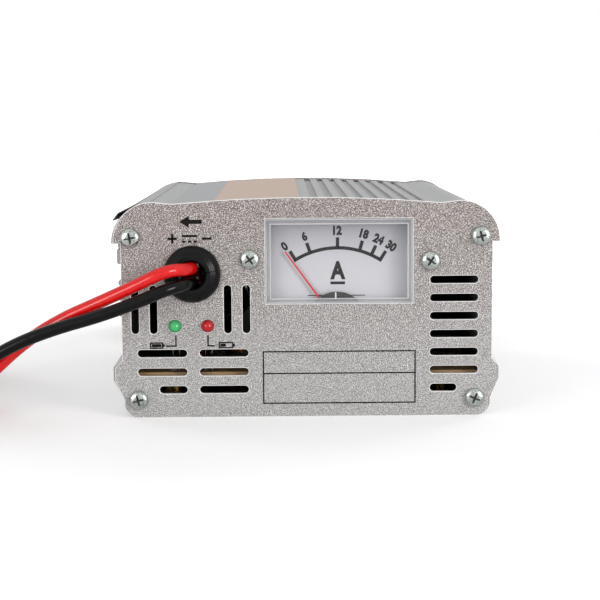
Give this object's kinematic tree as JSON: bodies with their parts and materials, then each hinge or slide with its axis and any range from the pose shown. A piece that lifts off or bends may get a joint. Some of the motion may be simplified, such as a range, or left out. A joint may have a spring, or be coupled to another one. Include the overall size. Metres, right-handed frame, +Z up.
{
  "type": "car battery charger",
  "caption": "Mains battery charger with an ammeter, signal lamps, slotted end panels, a rear fan and output leads with spring clamps.",
  "frame": {"origin": "middle of the case's footprint, on the surface that it stands on", "axes": "+Z up, -Y out of the front panel with the ammeter, +X to the right when facing that panel"},
  "size_m": [0.2568, 0.3064, 0.084],
  "materials": {
    "black_anodised": "black anodised aluminium extrusion",
    "black_nylon": "moulded nylon, satin",
    "black_plastic": "moulded plastic",
    "black_rubber": "glossy PVC insulation",
    "black_sheet": "black sheet",
    "black_vinyl": "moulded vinyl",
    "brass": "plated brass",
    "bronze": "sintered bronze",
    "can_sleeve": "shrink sleeve",
    "clear_plastic": "clear moulded plastic",
    "copper": "enamelled copper wire",
    "copper_plated": "copper-plated steel",
    "copper_sheet": "copper-coloured sheet",
    "ferrite": "ferrite",
    "fuse_glass": "glass tube with metal caps",
    "green_epoxy": "tinted epoxy",
    "magnet_steel": "cast magnet",
    "printed_sheet": "printed sheet, copper and grey",
    "red_epoxy": "tinted epoxy",
    "red_needle": "red painted aluminium",
    "red_rubber": "glossy PVC insulation",
    "red_vinyl": "moulded vinyl",
    "shell_metal": "anodised grey aluminium extrusion, satin",
    "speckled_silver": "silver paint with coarse sparkle",
    "steel": "steel",
    "tan_board": "paper phenolic board",
    "white_dial": "printed white sheet",
    "white_paper": "paper label",
    "yellow_tape": "polyester tape",
    "zinc": "zinc-plated steel"
  },
  "bodies": {
    "charger": {"black_clamp_fixed_jaw": "copper_plated", "black_clamp_fixed_lever": "black_vinyl", "black_clamp_pin": "steel", "black_clamp_spring": "steel", "black_coil": "black_rubber", "black_lead": "black_rubber", "board_screws": "zinc", "board_standoffs": "brass", "bridge_rectifier": "black_plastic", "capacitors": "can_sleeve", "case_screws": "zinc", "choke_core": "ferrite", "choke_winding": "copper", "circuit_board": "tan_board", "fan_bush": "bronze", "fan_frame": "black_plastic", "fan_screws": "zinc", "fan_stator": "copper", "front_panel": "speckled_silver", "fuse": "fuse_glass", "fuse_clips": "steel", "green_led": "green_epoxy", "heat_sinks": "black_anodised", "hub_sticker": "white_paper", "inner_leads": "black_rubber", "input_grommet": "black_nylon", "label_shoulder": "black_sheet", "label_side": "copper_sheet", "label_top": "printed_sheet", "lower_shell": "shell_metal", "mains_coil": "black_rubber", "mains_lead": "black_rubber", "meter_case": "black_plastic", "meter_dial": "white_dial", "meter_lens": "clear_plastic", "meter_movement": "magnet_steel", "meter_movement_cover": "black_plastic", "meter_screws": "zinc", "output_grommet": "black_nylon", "plug_blades": "brass", "plug_body": "black_rubber", "power_transistors": "black_plastic", "rear_panel": "speckled_silver", "red_clamp_fixed_jaw": "copper_plated", "red_clamp_fixed_lever": "red_vinyl", "red_clamp_pin": "steel", "red_clamp_spring": "steel", "red_coil": "red_rubber", "red_lead": "red_rubber", "red_led": "red_epoxy", "transformer_core": "ferrite", "transformer_winding": "yellow_tape", "upper_shell": "shell_metal"},
    "fan_wheel": {"fan_rotor": "black_plastic", "fan_shaft": "steel"},
    "needle": {"meter_pointer": "red_needle"},
    "red_jaw": {"red_clamp_moving_lever": "red_vinyl", "red_clamp_moving_jaw": "copper_plated"},
    "black_jaw": {"black_clamp_moving_lever": "black_vinyl", "black_clamp_moving_jaw": "copper_plated"}
  },
  "joints": [
    {"name": "fan_spin", "type": "hinge", "parent": "charger", "child": "fan_wheel", "pos_m": [0.0004, 0.078, 0.0406], "axis": [0, 1, 0], "continuous": true},
    {"name": "needle_swing", "type": "hinge", "parent": "charger", "child": "needle", "pos_m": [0.0118, -0.084, 0.0361], "axis": [0, 1, 0], "range_deg": [0, 71.4], "stiffness_Nm_per_rad": 0.00002},
    {"name": "red_clamp_open", "type": "hinge", "parent": "charger", "child": "red_jaw", "pos_m": [-0.16094, 0.00231, 0.007], "axis": [0, 0, -1], "range_deg": [0, 28], "stiffness_Nm_per_rad": 0.4, "springref_deg": -20.05, "deforming": ["red_clamp_spring"]},
    {"name": "black_clamp_open", "type": "hinge", "parent": "charger", "child": "black_jaw", "pos_m": [-0.16393, 0.00341, 0.0213], "axis": [0, 0, -1], "range_deg": [0, 28], "stiffness_Nm_per_rad": 0.4, "springref_deg": -20.05, "deforming": ["black_clamp_spring"]}
  ]
}
